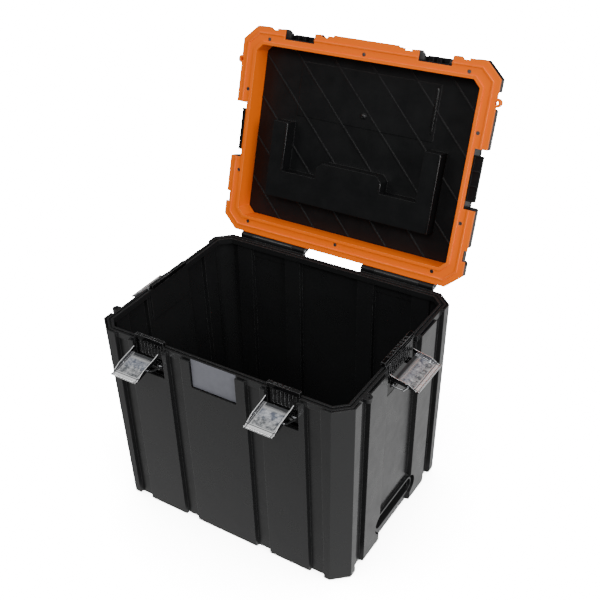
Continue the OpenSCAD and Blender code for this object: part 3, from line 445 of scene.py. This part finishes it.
def circle(radius, sides):
    turns = [2 * math.pi * step / sides for step in range(sides)]
    return [(radius * math.cos(turn), radius * math.sin(turn)) for turn in turns]


def tapered(low, high, taper):
    """Places along a form and the share of its size there, smaller towards both ends."""
    return ([(low + step, share) for step, share in taper]
            + [(high - step, share) for step, share in reversed(taper)])


def solid(name, rings, material, body, smooth=True):
    """A closed skin through rings of points, ridden by a body."""
    count = len(rings[0])
    points = [point for ring in rings for point in ring]
    faces = [tuple(range(count)), tuple(reversed(range(len(points) - count, len(points))))]
    for ring in range(len(rings) - 1):
        for spot in range(count):
            a, b = ring * count + spot, ring * count + (spot + 1) % count
            faces.append((a, a + count, b + count, b))
    mesh = bpy.data.meshes.new(name)
    mesh.from_pydata(points, [], faces)
    mesh.validate()
    work = bmesh.new()
    work.from_mesh(mesh)
    bmesh.ops.recalc_face_normals(work, faces=work.faces)
    work.to_mesh(mesh)
    work.free()
    if smooth:
        mesh.shade_smooth()
    thing = bpy.data.objects.new(name, mesh)
    bpy.context.scene.collection.objects.link(thing)
    thing.data.materials.append(material)
    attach(thing, body)


def hinge_gusset(name, low_x, high_x):
    """Gusset from the rim's back to just under the barrel of a lid knuckle."""
    arc = [(BARREL_CLEAR * math.cos(math.radians(turn)), BARREL_CLEAR * math.sin(math.radians(turn)))
           for turn in BARREL_ARC]
    rings = [[on_bin(x, HINGE_Y + y, HINGE_Z + z) for y, z in GUSSET_TOP + arc + GUSSET_FOOT]
             for x in (low_x, high_x)]
    solid(name, rings, MATERIALS["black_plastic"], "bin", smooth=False)


def bay_web(name, side, end):
    """Wall behind one end of a hand-hold's oval bay, from the bay's floor out to the raised wall."""
    rings = []
    limit = math.acos((WEB_START_Y - BAY_END_Y) / BAY_RADIUS)
    for step in range(WEB_STEPS + 1):
        turn = limit * (2 * step / WEB_STEPS - 1)
        start = (WEB_START_Y - BAY_END_Y) / math.cos(turn)
        profile = [(WEB_INNER, start), (WEB_INNER, BAY_RADIUS + WEB_WALL),
                   (WEB_REACH, BAY_RADIUS + WEB_WALL), (WEB_REACH, BAY_RADIUS),
                   (WEB_OUTER, BAY_RADIUS), (WEB_OUTER, start)]
        rings.append([on_bin(side * (BAY_FLOOR_X + x), end * (BAY_END_Y + reach * math.cos(turn)),
                             BAY_Z + reach * math.sin(turn)) for x, reach in profile])
    solid(name, rings, MATERIALS["black_plastic"], "bin", smooth=False)


def edge_round(name, x, low_y, high_y):
    """Rounded edge along a side of the handle hump, tapered at its ends."""
    rings = [[on_lid(x - EDGE_INSET + across, y, HUMP_Z + EDGE_INSET + up)
              for across, up in circle(EDGE_RADIUS * share, EDGE_SIDES)]
             for y, share in tapered(low_y, high_y, EDGE_TAPER)]
    solid(name, rings, EDGE_BLACK, "lid")


def panel_ridge(name):
    """Low rounded ridge along the panel's right end."""
    rings = []
    for y, share in tapered(RIDGE_START, RIDGE_END, RIDGE_TAPER):
        half, height = RIDGE_HALF * share, RIDGE_HEIGHT * share
        turns = [math.pi * step / RIDGE_STEPS for step in range(RIDGE_STEPS + 1)]
        rings.append([on_lid(RIDGE_X - half, y, PANEL_Z + RIDGE_ROOT)]
                     + [on_lid(RIDGE_X - half * math.cos(turn), y, PANEL_Z - height * math.sin(turn))
                        for turn in turns]
                     + [on_lid(RIDGE_X + half, y, PANEL_Z + RIDGE_ROOT)])
    solid(name, rings, EDGE_BLACK, "lid")


def boss_dome(name):
    """Low dome on the boss in the middle of the panel."""
    rings = [[on_lid(BOSS_X + x, BOSS_Y + y, BOSS_Z - BOSS_HEIGHT * share)
              for x, y in circle(BOSS_RADIUS * math.sqrt(1 - share ** 2), BOSS_SIDES)]
             for share in BOSS_SHARES]
    solid(name, rings, EDGE_BLACK, "lid")


ENDS = (("left", -1), ("right", 1))
for word, side in ENDS:
    middle = side * HINGE_X
    hinge_gusset("hinge_gusset_" + word + "_a", middle - HINGE_HALF, middle - KNUCKLE_HALF)
    hinge_gusset("hinge_gusset_" + word + "_b", middle + KNUCKLE_HALF, middle + HINGE_HALF)
for word, side in ENDS:
    bay_web("bay_web_" + word + "_front", side, -1)
    bay_web("bay_web_" + word + "_back", side, 1)
for edge in HUMP_EDGES:
    edge_round(*edge)
panel_ridge("panel_ridge")
boss_dome("panel_boss")


# Stage, light and camera
def placed(name, data):
    """A new object in the scene."""
    thing = bpy.data.objects.new(name, data)
    bpy.context.scene.collection.objects.link(thing)
    return thing


def make_floor():
    """Pale floor with a light of its own; it throws nothing back on the case."""
    mesh = bpy.data.meshes.new("floor")
    corners = [(x * FLOOR_HALF, y * FLOOR_HALF, 0) for x, y in ((-1, -1), (1, -1), (1, 1), (-1, 1))]
    mesh.from_pydata(corners, [], [(0, 1, 2, 3)])
    floor = placed("floor", mesh)
    floor.data.materials.append(even("stage_white", Base_Color=(0.9, 0.9, 0.9), Roughness=0.8,
                                     Specular_IOR_Level=0.0))
    floor.visible_diffuse = False
    floor.visible_glossy = False
    group = bpy.data.collections.new("floor_light_group")
    group.objects.link(floor)
    sun = bpy.data.lights.new("floor_light", "SUN")
    sun.energy = FLOOR_LIGHT
    sun.angle = math.radians(FLOOR_LIGHT_SPREAD)
    placed("floor_light", sun).light_linking.receiver_collection = group


def make_backdrop():
    """White dome round the stage that only the camera sees."""
    points, faces = [(0, 0, DOME_RADIUS)], []
    for ring in range(1, DOME_RINGS + 1):
        fall = DOME_REACH * ring / DOME_RINGS
        level = DOME_RADIUS * math.cos(fall)
        points += [(x, y, level) for x, y in circle(DOME_RADIUS * math.sin(fall), DOME_SIDES)]
    for step in range(DOME_SIDES):
        a, b = 1 + step, 1 + (step + 1) % DOME_SIDES
        faces.append((0, a, b))
        for _ in range(DOME_RINGS - 1):
            faces.append((a, a + DOME_SIDES, b + DOME_SIDES, b))
            a, b = a + DOME_SIDES, b + DOME_SIDES
    mesh = bpy.data.meshes.new("backdrop")
    mesh.from_pydata(points, [], faces)
    dome = placed("backdrop", mesh)
    dome.data.materials.append(even("backdrop_white", Base_Color=(0, 0, 0), Emission_Color=(1, 1, 1),
                                    Emission_Strength=DOME_LIGHT))
    for ray in ("diffuse", "glossy", "transmission", "volume_scatter", "shadow"):
        setattr(dome, "visible_" + ray, False)


def area_light(name, place, target, size, power):
    light = bpy.data.lights.new(name, "AREA")
    light.shape = "RECTANGLE"
    light.size, light.size_y = size
    light.energy = power
    thing = placed(name, light)
    thing.location = place
    thing.rotation_euler = (Vector(target) - Vector(place)).to_track_quat("-Z", "Y").to_euler()


def make_light():
    """World lit in bands of elevation and dimmed towards the front, and the soft boxes."""
    world = bpy.data.worlds.new("studio")
    bpy.context.scene.world = world
    world.use_nodes = True
    tree = world.node_tree
    background = tree.nodes["Background"]
    place = tree.nodes.new("ShaderNodeTexCoord")
    parts = tree.nodes.new("ShaderNodeSeparateXYZ")
    tree.links.new(place.outputs["Generated"], parts.inputs["Vector"])
    height = tree.nodes.new("ShaderNodeMapRange")
    height.inputs["From Min"].default_value = -1.0
    tree.links.new(parts.outputs["Z"], height.inputs["Value"])
    bands = tree.nodes.new("ShaderNodeValToRGB")
    tree.links.new(height.outputs["Result"], bands.inputs["Fac"])
    ramp = bands.color_ramp
    for spot, (sine, strength) in enumerate(SKY_BANDS):
        position = (sine + 1) / 2
        stop = ramp.elements.new(position) if spot else ramp.elements[0]
        stop.position = position
        stop.color = (strength, strength, strength, 1)
    # The stop that a new ramp ends with isn't one of the bands
    ramp.elements.remove(ramp.elements[-1])
    tree.links.new(bands.outputs["Color"], background.inputs["Color"])
    dim = tree.nodes.new("ShaderNodeMapRange")
    dim.inputs["From Min"].default_value = FRONT_DIM_FULL
    dim.inputs["From Max"].default_value = FRONT_DIM_END
    dim.inputs["To Min"].default_value = FRONT_DIM
    tree.links.new(parts.outputs["Y"], dim.inputs["Value"])
    tree.links.new(dim.outputs["Result"], background.inputs["Strength"])
    for soft_box in SOFT_BOXES:
        area_light(*soft_box)


def make_camera():
    data = bpy.data.cameras.new("camera")
    data.sensor_width = CAMERA_SENSOR
    data.lens = CAMERA_LENS
    data.shift_x, data.shift_y = CAMERA_SHIFT
    data.dof.use_dof = False
    camera = placed("camera", data)
    back = CAMERA_RIGHT.cross(CAMERA_UP)
    turn = Matrix((CAMERA_RIGHT, CAMERA_UP, back)).transposed().to_4x4()
    turn.translation = CAMERA_PLACE
    camera.matrix_world = turn
    bpy.context.scene.camera = camera


make_floor()
make_backdrop()
make_light()
make_camera()
